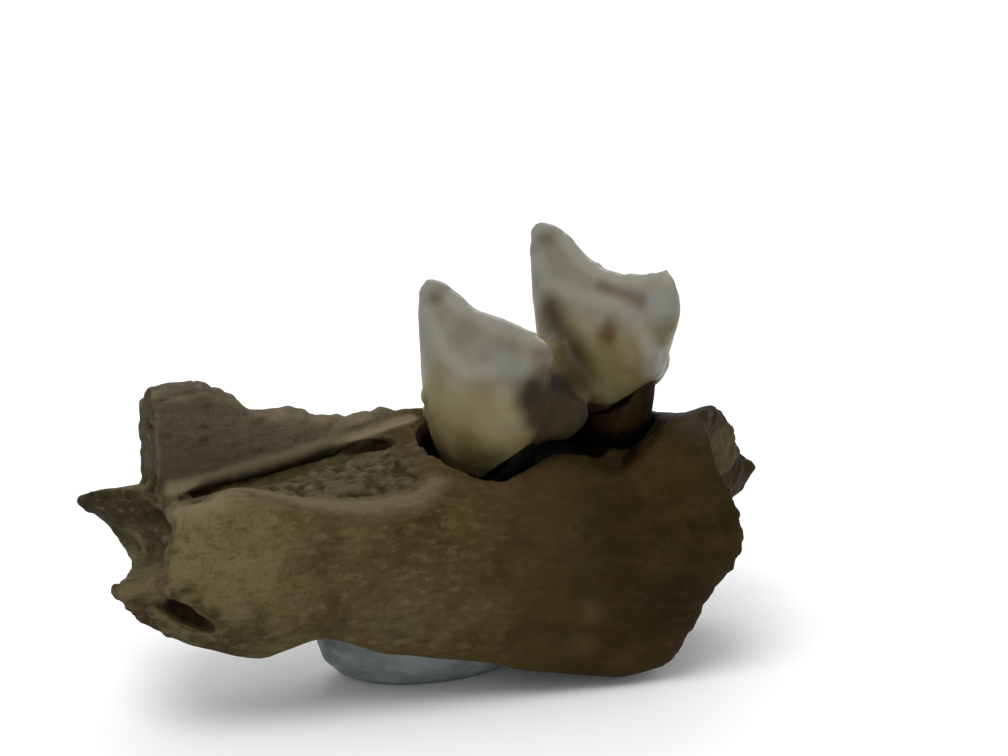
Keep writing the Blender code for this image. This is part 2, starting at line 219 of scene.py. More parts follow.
def set_camera():
    camera = bpy.data.cameras.new("view")
    camera.lens = LENS
    camera.sensor_width = FILM_WIDTH
    camera.clip_start = NEAREST_SEEN * METRE
    camera.clip_end = FARTHEST_SEEN * METRE
    level = math.cos(VIEW_ELEVATION)
    across, ahead = math.sin(VIEW_AZIMUTH) * level, -math.cos(VIEW_AZIMUTH) * level
    away = Vector((across, ahead, math.sin(VIEW_ELEVATION)))
    placed = bpy.data.objects.new("view", camera)
    placed.location = (VIEW_TARGET + away * VIEW_DISTANCE) * METRE
    placed.rotation_euler = (-away).to_track_quat("-Z", "Y").to_euler()
    bpy.context.scene.collection.objects.link(placed)
    bpy.context.scene.camera = placed


bpy.context.scene.view_settings.view_transform = "Standard"
lay_floor()
light_room()
set_camera()


# The jaw bone is a broken length of fossil bone, brown and finely fibred along its length.
# Its trough is worn down to spongy bone, its rims are rubbed pale, and its ends are raw breaks.
# The modelled solid gives its form. Carving, chipping and graining it by rule gives its skin.
BONE_MESH = 0.13
BONE_ROUNDS = 6
# A round of smoothing draws each point in, then lets it out again, so that nothing shrinks.
SMOOTH_IN = 0.5
SMOOTH_OUT = -0.53
WELD = 0.001
# Lines that run along the bone, as points (x, y, z).
RIDGE_LINE = (
    (-12.4, 1.1, 9.45), (-10.2, 1.36, 9.68), (-8.8, 1.48, 9.93), (-6.9, 1.64, 10.16), (-5.1, 1.6, 10.52),
    (-3.2, 1.7, 10.86), (-1.2, 2.1, 11.05),
)
GROOVE_LINE = (
    (-11.4, 1.2, 9.13), (-10.2, 1.4, 9.24), (-8.85, 1.4, 9.41), (-7.4, 1.55, 9.63), (-6.2, 1.6, 9.86),
    (-5.5, 1.7, 10.05), (-4.4, 1.6, 10.18), (-3.2, 1.2, 10.36), (-2.6, 0.9, 10.6),
)
RIM_LINE = (
    (-13.1, -3.1, 10.1), (-11.8, -3.8, 10.4), (-10.1, -1.6, 10.1), (-9.0, -2.4, 10.0), (-7.5, -3.3, 9.8),
    (-6.0, -3.7, 9.6), (-4.4, -4.1, 9.6), (-2.8, -4.0, 9.75), (-2.0, -3.6, 10.0),
)
GROOVE_WIDTH = 0.32
GROOVE_DEPTH = 0.3
GROOVE_PUSH = np.array((0.0, 0.6, -0.6))
LIP_REACH = 0.5
LIP_RISE = 0.1
LIP_PUSH = np.array((0.0, -0.75, 0.5))
RIM_REACH = 1.1
RIM_RISE = 0.06
# The channel under the ridge sags, and the rim of the front socket dips at two places.
CHANNEL_REACH = 1.3
CHANNEL_SAG = 0.4
DIPS = ((6.9, -2.6, 10.2), (7.6, -2.4, 10.5))
DIP_REACH = 2.0
DIP_DEPTH = 0.45
# Where the plate, the trough and the raw breaks fade in: x, except where a name says otherwise.
PLATE_END = (-0.9, -1.8)
PLATE_OVER_RIDGE = (0.1, 0.5)
PLATE_FACE_Y = (0.3, 0.8)
TROUGH_ENDS = ((-1.6, -3.0), (-12.9, -11.8))
TROUGH_FAR_Y = (1.5, 1.0)
TROUGH_FROM_RIM = (-0.9, 1.2)
CHANNEL_ENDS = ((-11.6, -9.0), (-3.2, -5.5))
LEFT_BREAK = (-12.3, -12.9)
RIGHT_BREAK = (10.0, 10.8)
HOLLOW_END_X = (-12.5, -13.2)
HOLLOW_END_Y = (-0.8, 0.4)
HOLLOW_END_Z = (10.4, 9.8)
# The sockets: how far from the row's middle their walls and floor reach, and where their painted shade and
# dirt start.
WALL_REACH = (4.6, 3.9)
FLOOR_SPAN = (2.6, 2.0)
SOCKET_SHADE_FROM = (-5.6, -6.2)
# How many rounds of easing the broken edges and the finer relief are measured against.
EDGE_ROUNDS = 12
RELIEF_ROUNDS = 8
BONE_RELIEF = (0.02, 0.09)
LUMP_SIZE = 2.6
LUMP_DEPTH = 0.1
CHIP_SIZE = 0.9
CHIP_DEPTH = 0.5
BREAK_SIZE = 0.8
BREAK_DEPTH = 0.18
# Pits and grains are each a size and a depth, and a pit's edge is a range of its noise.
BONE_PITS = (0.85, 0.24)
PIT_EDGE = (0.54, 0.34)
BONE_GRAIN = (0.3, 0.025)
FIBRE_DEPTH = 0.012
BONE_SEED = 7
# Fibres lie along the bone, so their noise is drawn out that way, in the mesh and in the colour.
FIBRES_ALONG = (0.18, 1.0, 1.0)
ALONG_BONE = (0.35, 1.0, 1.0)
BONE_SLOPE = (0.0, 0.25, 0.0)
# Where along x the skin turns from pale and fibrous to dark and plain, and how plain it gets.
BACK_TO_FRONT = (-4.0, 3.0)
FRONT_PLAINNESS = 0.88
PALE_TO_BROWN = (-15.0, -3.0)
BROWN_TO_DARK = (-1.0, 6.0)
COLOUR_WANDER = 7.0
GREY_TO_PALE_PLATE = (-11.5, -7.0)
RUBBED_FROM = (-14.2, -12.8)
SMOOTHER_FRONT = (2.0, 9.0)
# The bone's colours, from its pale back end to its dark front.
PALE_BONE = tint(96, 86, 57)
BROWN_BONE = tint(65, 53, 29)
DARK_BONE = tint(42, 31, 11)
RUST = tint(74, 56, 26)
PALE_PATCH = tint(94, 82, 57)
DARK_PATCH = tint(40, 30, 14)
PALE_MOTTLE = tint(100, 91, 66)
DARK_MOTTLE = tint(58, 48, 30)
PALE_SWEEP = tint(66, 50, 24)
DARK_SWEEP = tint(28, 19, 5)
PALE_PLATE = tint(104, 94, 76)
GREY_PLATE = tint(80, 73, 61)
DARK_PLATE = tint(62, 53, 45)
PALE_HOLLOW = tint(44, 38, 28)
DARK_HOLLOW = tint(32, 27, 18)
PAINTED_HOLLOW_FLOOR_LIGHT = tint(104, 96, 68)
PALE_SPONGE = tint(78, 70, 51)
DARK_SPONGE = tint(42, 35, 22)
PALE_FIBRE = tint(104, 93, 65)
DARK_FIBRE = tint(36, 27, 12)
DARK_SPECK = tint(32, 24, 10)
PALE_LIP = tint(116, 106, 83)
RUBBED_BONE = tint(106, 95, 70)
BONE_DIRT = tint(24, 18, 8)
GROOVE_DIRT = tint(18, 13, 5)
SOCKET_SHADE_AND_DIRT = tint(5, 4, 2)
# Stains and pale patches of the weathered surface: place, reach, colour and share.
STAINS = (
    ((-11.2, -5.0, 7.9), 3.2, (98, 88, 58), 0.5), ((-13.2, -3.0, 9.8), 1.8, (102, 94, 74), 0.5),
    ((-7.5, -5.1, 8.5), 1.8, (60, 51, 30), 0.5), ((-4.0, -5.4, 7.5), 2.6, (64, 48, 24), 0.6),
    ((-4.2, -5.3, 4.6), 3.4, (84, 74, 51), 0.8), ((-12.0, -4.6, 4.2), 3.4, (47, 39, 24), 0.9),
    ((-15.0, -3.6, 6.3), 3.0, (48, 41, 25), 0.95), ((-13.9, -4.8, 8.9), 0.45, (54, 42, 24), 0.6),
    ((2.0, -5.0, 8.9), 3.4, (58, 46, 25), 0.7), ((8.3, -4.9, 9.7), 2.6, (54, 39, 11), 0.9),
    ((7.2, -4.2, 10.7), 1.4, (44, 27, 10), 0.7), ((9.7, -4.2, 11.4), 1.2, (62, 52, 40), 0.7),
    ((7.2, -5.3, 7.4), 3.6, (38, 27, 7), 0.9), ((9.8, -5.5, 7.1), 2.2, (31, 21, 5), 0.9),
    ((8.0, -5.6, 5.6), 1.6, (54, 42, 21), 0.6), ((8.4, -5.6, 4.4), 2.2, (34, 24, 7), 0.9),
    ((5.4, -5.5, 2.3), 1.8, (42, 30, 12), 0.7), ((4.3, -5.7, 3.9), 1.2, (78, 66, 41), 0.5),
    ((4.0, -5.5, 2.6), 1.2, (76, 64, 39), 0.5),
    ((-14.2, -5.1, 7.1), 0.7, (42, 37, 18), 0.8), ((-13.3, -5.1, 6.4), 0.8, (36, 31, 13), 0.9),
    ((-12.5, -5.1, 5.8), 0.9, (36, 31, 13), 0.9), ((-1.9, -5.3, 7.8), 0.35, (62, 38, 16), 0.7),
    ((-2.4, -5.3, 7.4), 0.3, (62, 38, 16), 0.7), ((12.6, -0.6, 8.5), 3.4, (82, 72, 46), 0.8),
    ((-14.4, -2.8, 5.9), 1.8, (50, 42, 26), 0.9),
)
# Painted light on the floor of the hollow left end, against the deep shade that falls there: its middle and
# its reach.
HOLLOW_FLOOR_LIGHT = (-13.4, 2.4, 6.3)
HOLLOW_FLOOR_LIGHT_REACH = 2.0
# The row of the molar, whose sockets are painted black inside for their shade and dirt: where it starts,
# how it turns and climbs.
ROW_START = np.array((1.39, -1.204, 16.77))
ROW_TURN = math.radians(20.0)
ROW_RISE = 0.26
CREST_PITCH = 6.5
# Whole numbers that scramble a lattice cell into a random value, always the same one.
LATTICE_STEPS = np.array((73856093, 19349663, 83492791), dtype=np.uint64)
SCRAMBLE = np.uint64(2246822519)
LOW_BITS = np.uint64(65535)
SEED_STRIDE = 1000.0


def set_mesh(piece):
    """Turns an object with live modifiers into a plain mesh."""
    graph = bpy.context.evaluated_depsgraph_get()
    mesh = bpy.data.meshes.new_from_object(piece.evaluated_get(graph))
    piece.modifiers.clear()
    piece.data = mesh


def fine_copy(node, name, fineness, rounds):
    """A closed, evenly fine mesh in millimetres of a CAD node, with its facets smoothed away."""
    shape = bmesh.new()
    shape.from_mesh(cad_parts[node].data)
    bmesh.ops.scale(shape, vec=(1 / METRE,) * 3, verts=shape.verts)
    bmesh.ops.remove_doubles(shape, verts=shape.verts, dist=WELD)
    mesh = bpy.data.meshes.new(name)
    shape.to_mesh(mesh)
    shape.free()
    piece = bpy.data.objects.new(name, mesh)
    bpy.context.scene.collection.objects.link(piece)
    skin = piece.modifiers.new("skin", "REMESH")
    skin.mode = "VOXEL"
    skin.voxel_size = fineness
    set_mesh(piece)
    points = points_of(piece)
    average = neighbour_average(piece)
    for _ in range(rounds):
        points += (average(points) - points) * SMOOTH_IN
        points += (average(points) - points) * SMOOTH_OUT
    move_points(piece, points)
    return piece


def points_of(piece):
    flat = np.zeros(len(piece.data.vertices) * 3, np.float32)
    piece.data.vertices.foreach_get("co", flat)
    return flat.reshape(-1, 3).astype(float)


def normals_of(piece):
    flat = np.zeros(len(piece.data.vertices) * 3, np.float32)
    piece.data.vertex_normals.foreach_get("vector", flat)
    return flat.reshape(-1, 3).astype(float)


def move_points(piece, points):
    piece.data.vertices.foreach_set("co", points.astype(np.float32).ravel())
    piece.data.update()


def paint(piece, name, values):
    """Stores a mask of that name at the mesh's points, held between 0 and 1."""
    mask = piece.data.attributes.new(name, "FLOAT", "POINT")
    mask.data.foreach_set("value", np.clip(values, 0.0, 1.0).astype(np.float32))


def step(values, low, high):
    """0 at low and 1 at high, with a smooth rise between; low may be the greater."""
    share = np.clip((values - low) / (high - low), 0.0, 1.0)
    return share * share * (3 - 2 * share)


def line_distance(points, line):
    """How far each point is from a line that is given by its corners."""
    nearest = np.full(len(points), np.inf)
    for start, end in zip(line, line[1:]):
        start = np.array(start)
        along = np.array(end) - start
        share = np.clip((points - start) @ along / (along @ along), 0.0, 1.0)
        gap = np.linalg.norm(points - start - share[:, None] * along, axis=1)
        nearest = np.minimum(nearest, gap)
    return nearest


def grain(points, size, seed):
    """Smooth random values between -1 and 1, with patches about as wide as size."""
    place = points / size + SEED_STRIDE * seed
    cell = np.floor(place)
    share = place - cell
    share = share * share * (3 - 2 * share)
    total = np.zeros(len(points))
    for corner in product((0, 1), repeat=3):
        weight = np.prod(np.where(corner, share, 1 - share), axis=1)
        key = ((cell + corner).astype(np.int64).astype(np.uint64) * LATTICE_STEPS).sum(axis=1)
        key ^= key >> np.uint64(15)
        key *= SCRAMBLE
        key ^= key >> np.uint64(13)
        total += weight * ((key & LOW_BITS).astype(float) * 2 / float(LOW_BITS) - 1)
    return total


def waves(points, kinds):
    """Unevenness made of several grains, each a size, a height and a seed."""
    return sum(grain(points, size, seed) * height for size, height, seed in kinds)


def neighbour_average(piece):
    """A function that gives, for values at a mesh's points, the average over each point's neighbours."""
    pairs = np.zeros(len(piece.data.edges) * 2, np.int32)
    piece.data.edges.foreach_get("vertices", pairs)
    one, other = pairs.reshape(-1, 2).T
    count = np.bincount(pairs, minlength=len(piece.data.vertices))

    def average(values):
        columns = values.reshape(len(count), -1)
        total = np.zeros_like(columns)
        for column in range(columns.shape[1]):
            total[:, column] += np.bincount(one, columns[other, column], len(count))
            total[:, column] += np.bincount(other, columns[one, column], len(count))
        return (total / count[:, None]).reshape(values.shape)
    return average


def hollowness(piece, rounds):
    """How far each point lies under (+) or stands over (-) its surroundings, in millimetres."""
    start = points_of(piece)
    average = neighbour_average(piece)
    eased = start
    for _ in range(rounds):
        eased = average(eased)
    return np.einsum("ij,ij->i", eased - start, normals_of(piece))


def paint_relief(piece, rounds, high, low):
    """Paints what stands out and what lies deep; high and low say where each starts and is full."""
    deep = hollowness(piece, rounds)
    paint(piece, "stands_out", step(-deep, *high))
    paint(piece, "lies_deep", step(deep, *low))


def set_finish(piece, finish):
    piece.data.materials.clear()
    piece.data.materials.append(finish)


def weathering(name, finish, stretch):
    """Geometry Nodes that sink pits, raise grain and draw fibres on a piece, and give it its finish."""
    tree = bpy.data.node_groups.new(name, "GeometryNodeTree")
    tree.interface.new_socket("Piece", in_out="INPUT", socket_type="NodeSocketGeometry")
    sizes = ("Pit Size", "Pit Depth", "Grain Size", "Grain Depth", "Fibre Depth")
    for size in sizes:
        tree.interface.new_socket(size, in_out="INPUT", socket_type="NodeSocketFloat")
    tree.interface.new_socket("Seed", in_out="INPUT", socket_type="NodeSocketInt")
    tree.interface.new_socket("Piece", in_out="OUTPUT", socket_type="NodeSocketGeometry")
    given = tree.nodes.new("NodeGroupInput")
    wires = {socket.name: Wire(tree, socket) for socket in given.outputs if socket.name}
    place = lay(tree, "GeometryNodeInputPosition", {}, {})
    normal = lay(tree, "GeometryNodeInputNormal", {}, {})
    drawn = lay(tree, "ShaderNodeVectorMath", {"operation": "MULTIPLY"}, {0: place, 1: stretch})
    coarse, fine = 1.0 / wires["Pit Size"], 1.0 / wires["Grain Size"]

    def noise(at, scale, detail, warp=0.0):
        sockets = {"Vector": at, "W": wires["Seed"], "Scale": scale, "Detail": detail, "Distortion": warp}
        return lay(tree, "ShaderNodeTexNoise", {"noise_dimensions": "4D"}, sockets)

    pit = noise(place, coarse, 1.5, warp=0.4).step(*PIT_EDGE)
    rough = noise(place, fine, 3.0) - 0.5
    fibre = noise(drawn, fine, 2.0) - 0.5
    masks = {}
    for mask in ("spongy", "raw"):
        named = {"data_type": "FLOAT"}
        masks[mask] = lay(tree, "GeometryNodeInputNamedAttribute", named, {"Name": mask})
    rise = rough * (masks["raw"] + 0.6) * wires["Grain Depth"] * 2.0
    rise = rise + fibre * (1.0 - masks["raw"]) * (1.0 - masks["spongy"]) * wires["Fibre Depth"] * 2.0
    rise = rise - pit * masks["spongy"] * wires["Pit Depth"]
    offset = lay(tree, "ShaderNodeVectorMath", {"operation": "SCALE"}, {0: normal, "Scale": rise})
    moved = lay(tree, "GeometryNodeSetPosition", {}, {"Geometry": wires["Piece"], "Offset": offset})
    whole = lay(tree, "GeometryNodeRealizeInstances", {}, {"Geometry": moved})
    dressed = lay(tree, "GeometryNodeSetMaterial", {}, {"Geometry": whole, "Material": finish})
    tree.links.new(dressed.socket, tree.nodes.new("NodeGroupOutput").inputs[0])
    return tree


def weather(piece, finish, pits, grains, fibre, seed, stretch):
    """Weathers a piece; pits and grains are each a (size, depth), and stretch draws out the fibres."""
    tree = weathering(piece.name + "_weathering", finish, stretch)
    worn = piece.modifiers.new("worn", "NODES")
    worn.node_group = tree
    sizes = (pits[0], pits[1], grains[0], grains[1], fibre, seed)
    sockets = [item for item in tree.interface.items_tree if item.in_out == "INPUT"][1:]
    for socket, value in zip(sockets, sizes):
        worn[socket.identifier] = value
    set_mesh(piece)


def hand_over(piece, node):
    """Sets a finished piece in metres in the frame, in the place of its CAD node."""
    move_points(piece, points_of(piece) * METRE)
    piece.data.polygons.foreach_set("use_smooth", [True] * len(piece.data.polygons))
    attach(piece, "root")
    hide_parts(node)


def row_coordinates(points):
    """Each point's place along the molar, across it, and above the level of its crests."""
    shift = points - ROW_START
    along = shift[:, 0] * math.cos(ROW_TURN) + shift[:, 1] * math.sin(ROW_TURN)
    across = -shift[:, 0] * math.sin(ROW_TURN) + shift[:, 1] * math.cos(ROW_TURN)
    return along, across, shift[:, 2] - ROW_RISE * along


def marked(points, places, reach):
    """1 at each of some places and 0 from their reach outwards, with a smooth fall between."""
    near = np.zeros(len(points))
    for place in places:
        near = np.maximum(near, step(np.linalg.norm(points - np.array(place), axis=1), reach, reach * 0.25))
    return near


def socket_mask(points, normals):
    """1 on the walls and floor of the two root sockets, which face the row's middle line or up; painted
    shade and dirt turn them black.
    """
    inward = np.zeros(len(points))
    for place in (0.0, CREST_PITCH / 2, CREST_PITCH):
        middle = ROW_START + np.array((math.cos(ROW_TURN), math.sin(ROW_TURN), 0.0)) * place
        apart = (middle - points)[:, :2]
        span = np.linalg.norm(apart, axis=1)
        facing = np.einsum("ij,ij->i", apart / span[:, None], normals[:, :2])
        inward = np.maximum(inward, step(facing, 0.1, 0.5) * step(span, *WALL_REACH))
        inward = np.maximum(inward, step(span, *FLOOR_SPAN) * step(normals[:, 2], 0.3, 0.7))
    _, _, height = row_coordinates(points)
    return inward * step(height, *SOCKET_SHADE_FROM)


def carve_bone(bone):
    """Cuts the groove, lifts the lip and rim, breaks the edges, and paints the masks of the skin."""
    points = points_of(bone)
    normals = normals_of(bone)
    x, y, z = points.T
    up = normals[:, 2]
    ridge_x, _, ridge_z = np.array(RIDGE_LINE).T
    above = z - np.interp(x, ridge_x, ridge_z)
    plate = step(above, *PLATE_OVER_RIDGE) * step(x, *PLATE_END) * step(y, *PLATE_FACE_Y)
    rim_x, rim_y, _ = np.array(RIM_LINE).T
    inside = step(y - np.interp(x, rim_x, rim_y), *TROUGH_FROM_RIM) * step(y, *TROUGH_FAR_Y)
    trough = step(up, 0.25, 0.65) * inside * (1 - plate)
    sag = step(line_distance(points, GROOVE_LINE), CHANNEL_REACH, 0.4)
    for trough_end, channel_end in zip(TROUGH_ENDS, CHANNEL_ENDS):
        trough *= step(x, *trough_end)
        sag *= step(x, *channel_end)
    points[:, 2] -= sag * CHANNEL_SAG
    points[:, 2] -= marked(points, DIPS, DIP_REACH) * DIP_DEPTH
    groove = step(line_distance(points, GROOVE_LINE), GROOVE_WIDTH, 0.1)
    lip = step(line_distance(points, RIDGE_LINE), LIP_REACH, 0.15) * (1 - groove)
    rim = step(line_distance(points, RIM_LINE), RIM_REACH, 0.0)
    left_break = step(x, *LEFT_BREAK) * step(-normals[:, 0], 0.3, 0.6)
    right_break = step(x, *RIGHT_BREAK) * step(normals[:, 0], 0.4, 0.7)
    top_break = plate * step(up, 0.45, 0.75)
    raw = np.clip(left_break + right_break + top_break, 0, 1)
    socket = socket_mask(points, normals)
    edge = step(-hollowness(bone, EDGE_ROUNDS), 0.03, 0.14) * (1 - socket)
    lumps = grain(points, LUMP_SIZE, 1) * LUMP_DEPTH
    chipped = np.maximum(0.0, grain(points, CHIP_SIZE, 2) + 0.5 * grain(points, CHIP_SIZE / 2, 3))
    chips = edge * chipped * CHIP_DEPTH * (1 - 0.7 * step(line_distance(points, RIM_LINE), 1.0, 0.4))
    breaks = raw * (grain(points, BREAK_SIZE, 4) + 0.6 * grain(points, BREAK_SIZE / 2, 5)) * BREAK_DEPTH
    points += normals * (lumps - chips + breaks + rim * RIM_RISE * (1 - groove))[:, None]
    sunk = groove * (0.75 + 0.35 * grain(points, 0.8, 6)) * GROOVE_DEPTH
    points += sunk[:, None] * GROOVE_PUSH
    points += (lip * LIP_RISE)[:, None] * LIP_PUSH
    move_points(bone, points)
    paint(bone, "plate", plate)
    paint(bone, "spongy", trough * (1 - rim))
    paint(bone, "raw", np.maximum(raw, trough * 0.5))
    paint(bone, "groove", groove)
    paint(bone, "lip", np.maximum(lip, rim * 0.5))
    hollow_end = step(x, *HOLLOW_END_X) * step(y, *HOLLOW_END_Y) * step(z, *HOLLOW_END_Z)
    hollow_end *= step(normals[:, 1], 0.3, -0.2)
    paint(bone, "inner", np.maximum(left_break * 0.6, hollow_end))
    paint(bone, "socket", socket)


def bone_finish():
    """Brown at the front, paler and greyer behind, with fine fibres, stains, dirt in every hollow, painted
    shade and dirt in the root sockets, and painted light on the hollow end's floor.
    """
    bone = Finish("fossil_bone", Specular_IOR_Level=0.05)
    x = bone.axis("X")
    cloud = bone.noise(4.5, detail=3.0)
    blotch = bone.noise(1.4, detail=4.0, warp=0.4)
    mottle = bone.noise(0.7, detail=4.0)
    crumbs = bone.noise(0.5, detail=3.0)
    speck = bone.noise(0.17, detail=2.0)
    along = bone.stretch(bone.place, ALONG_BONE, turn=BONE_SLOPE)
    sweep = bone.noise(2.2, detail=3.0, place=along)
    strands = bone.noise(0.28, detail=3.0, place=along)
    behind = 1.0 - x.step(*BACK_TO_FRONT) * FRONT_PLAINNESS
    front = 1.0 - behind
    reach = x + (cloud - 0.5) * COLOUR_WANDER
    colour = bone.blend(reach.step(*PALE_TO_BROWN), PALE_BONE, BROWN_BONE)
    colour = bone.blend(reach.step(*BROWN_TO_DARK), colour, DARK_BONE)
    for place, size, shade, share in STAINS:
        colour = bone.blend(bone.spot(place, size, blotch) * share, colour, tint(*shade))
    colour = bone.blend((blotch * 0.7 + cloud).step(0.9, 1.1) * 0.2, colour, RUST)
    colour = bone.blend((blotch - cloud * 0.6).step(0.22, 0.4) * behind * 0.35, colour, PALE_PATCH)
    colour = bone.blend((blotch - cloud * 0.4).step(0.28, 0.14) * 0.35, colour, DARK_PATCH)
    colour = bone.blend(mottle.step(0.5, 0.66) * behind * 0.35, colour, DARK_MOTTLE)
    colour = bone.blend(mottle.step(0.46, 0.32) * behind * 0.3, colour, PALE_MOTTLE)
    colour = bone.blend(sweep.step(0.5, 0.7) * front * 0.3, colour, PALE_SWEEP)
    colour = bone.blend(sweep.step(0.48, 0.3) * front * 0.4, colour, DARK_SWEEP)
    shade = blotch.step(0.36, 0.62)
    plate = bone.blend(x.step(*GREY_TO_PALE_PLATE), GREY_PLATE, PALE_PLATE)
    plate = bone.blend(shade * 0.45, plate, DARK_PLATE)
    colour = bone.blend(bone.painted("plate") * 0.85, colour, plate)
    hollow = bone.blend(shade, DARK_HOLLOW, PALE_HOLLOW)
    colour = bone.blend(bone.painted("inner") * 0.85, colour, hollow)
    # Painted light: a pale patch lifts the deep shade on the hollow end's floor.
    floor = bone.spot(HOLLOW_FLOOR_LIGHT, HOLLOW_FLOOR_LIGHT_REACH, blotch)
    colour = bone.blend(floor * 0.9, colour, PAINTED_HOLLOW_FLOOR_LIGHT)
    sponge = bone.blend(crumbs.step(0.36, 0.6), DARK_SPONGE, PALE_SPONGE)
    colour = bone.blend(bone.painted("spongy") * 0.7, colour, sponge)
    colour = bone.blend(strands.step(0.52, 0.72) * behind * 0.4, colour, PALE_FIBRE)
    colour = bone.blend(strands.step(0.46, 0.28) * behind * 0.4, colour, DARK_FIBRE)
    colour = bone.blend(speck.step(0.5, 0.34) * behind * 0.2, colour, DARK_SPECK)
    colour = bone.blend(bone.painted("lip") * 0.85, colour, PALE_LIP)
    rubbed = bone.painted("stands_out") * behind * x.step(*RUBBED_FROM)
    colour = bone.blend(rubbed * 0.4, colour, RUBBED_BONE)
    colour = bone.blend(bone.painted("lies_deep") * 0.55, colour, BONE_DIRT)
    colour = bone.blend(bone.painted("groove") * 0.85, colour, GROOVE_DIRT)
    # Painted shade and dirt: the root sockets go black, for the shade deep inside them and the dirt there.
    colour = bone.blend(bone.painted("socket") * 0.97, colour, SOCKET_SHADE_AND_DIRT)
    rough = 0.8 - x.step(*SMOOTHER_FRONT) * 0.15
    skin = bone.bump(strands * 0.6 + speck * 0.4, 0.03, 0.5)
    return bone.feed(Base_Color=colour, Roughness=rough, Normal=skin)


jaw_bone = fine_copy("jaw_bone", "jaw_bone_skin", BONE_MESH, BONE_ROUNDS)
carve_bone(jaw_bone)
weather(jaw_bone, bone_finish(), BONE_PITS, BONE_GRAIN, FIBRE_DEPTH, BONE_SEED, FIBRES_ALONG)
paint_relief(jaw_bone, RELIEF_ROUNDS, BONE_RELIEF, BONE_RELIEF)
hand_over(jaw_bone, "jaw_bone")


# The molar's crown is enamel over dentine: two tall crests, worn along their tops, with a waist
# between them. The enamel is cream, stained brown and olive low down, and bluish where it is thin.
# Painted sky light pales the crests, and painted shade darkens the waist, the notch between the lobes, the
# olive groove and the foot of the front lobe.
CROWN_MESH = 0.09
CROWN_ROUNDS = 30
# How far the enamel's foot laps down over the necks of the roots.
FOOT_DROP = 0.45
FOOT_HEIGHT = (-6.1, -6.8)
# The waist between the lobes is eased this often, and its edge on the back lobe changes with height.
WAIST_ROUNDS = 40
WAIST_HEIGHTS = (-5.0, -4.2, -3.1, -1.7, -1.0)
WAIST_EDGE = (0.1, -0.7, -1.2, -1.1, -0.3)
WAIST_FADE = (-0.4, 0.5)
WAIST_FRONT = (4.7, 4.0)
WAIST_TOP = (-1.2, -2.0)
WAIST_NEAR_SIDE = (0.8, -1.4)
WAIST_FOOT = (-3.4, -4.8)
# The neck is painted brown under the front lobe, and faintly under the back one, for its stain and for the
# shade under the lobe: heights above the card.
FRONT_NECK = (12.2, 11.7)
FRONT_NECK_ALONG = (1.6, 4.0)
BACK_NECK = (10.8, 10.1)
BACK_NECK_SHARE = 0.4
# Small nubs stand out low on the back lobe.
NUBS = ((-1.03, 0.62, 12.6), (-0.9, 1.0, 11.7))
NUB_REACH = 0.5
NUB_RISE = 0.14
# Dirt gathers in the enamel's small pits, and painted shade in its creases; both are measured against this
# many rounds of easing.
PIT_ROUNDS = 10
ENAMEL_PITS = (0.01, 0.05)
# The enamel is uneven: size, height and seed.
CROWN_WAVES = ((1.7, 0.07, 11), (0.5, 0.02, 12))
# A facet lies behind its crest, from some way back to just short of it, and down to a height.
FACET_BACK = (-2.5, -1.4)
FACET_FRONT = (0.1, -0.3)
FACET_HEIGHT = (-3.0, -1.9)
FACET_WEAR = 0.1
FACET_EDGE_REACH = 0.7
FACET_EDGE_RISE = 0.06
CREST_SHARE = 0.7
ENAMEL_HEIGHT = (-6.0, 0.5)
# The worn top of each crest, and the lower edge of its worn facet, as points (x, y, z).
CREST_LINES = (
    (
        (-0.1, 2.4, 17.2), (0.5, 0.9, 16.75), (1.2, -1.5, 16.3), (1.8, -2.8, 16.2),
        (2.3, -3.8, 16.3), (2.5, -4.5, 16.2),
    ),
    (
        (5.9, 4.7, 18.6), (6.7, 3.5, 18.2), (7.2, 1.6, 17.3), (7.8, -0.7, 17.25),
        (8.3, -2.0, 17.6), (8.8, -2.9, 18.0),
    ),
)
FACET_LINES = (
    ((-0.4, 1.8, 16.0), (-0.35, 0.1, 14.8), (0.1, -1.8, 14.3), (0.8, -3.0, 14.6)),
    (
        (5.5, 4.0, 17.2), (5.6, 2.9, 16.4), (6.4, 1.2, 16.2), (7.4, -1.5, 16.3),
        (7.7, -2.6, 16.0), (8.0, -3.1, 15.0), (8.6, -2.3, 13.6),
    ),
)
# Lines of stain down the crown, each with the reach where it starts and is full; the olive line is also
# painted shade, in the groove at the back of the front lobe.
OLIVE_REACH = (1.3, 0.1)
OLIVE_LINE = ((5.4, 2.3, 15.4), (5.6, 1.2, 14.6), (5.8, 0.1, 14.0), (5.8, -0.9, 13.0))
STREAK_REACH = (0.6, 0.0)
STREAK_LINE = ((7.2, 0.5, 16.9), (7.6, -0.8, 16.9), (7.95, -2.4, 16.9))
BLUE_REACH = (0.8, 0.2)
BLUE_LINE = ((8.4, -3.0, 17.2), (8.45, -3.3, 16.2), (8.3, -3.2, 15.3), (8.4, -2.4, 13.8))
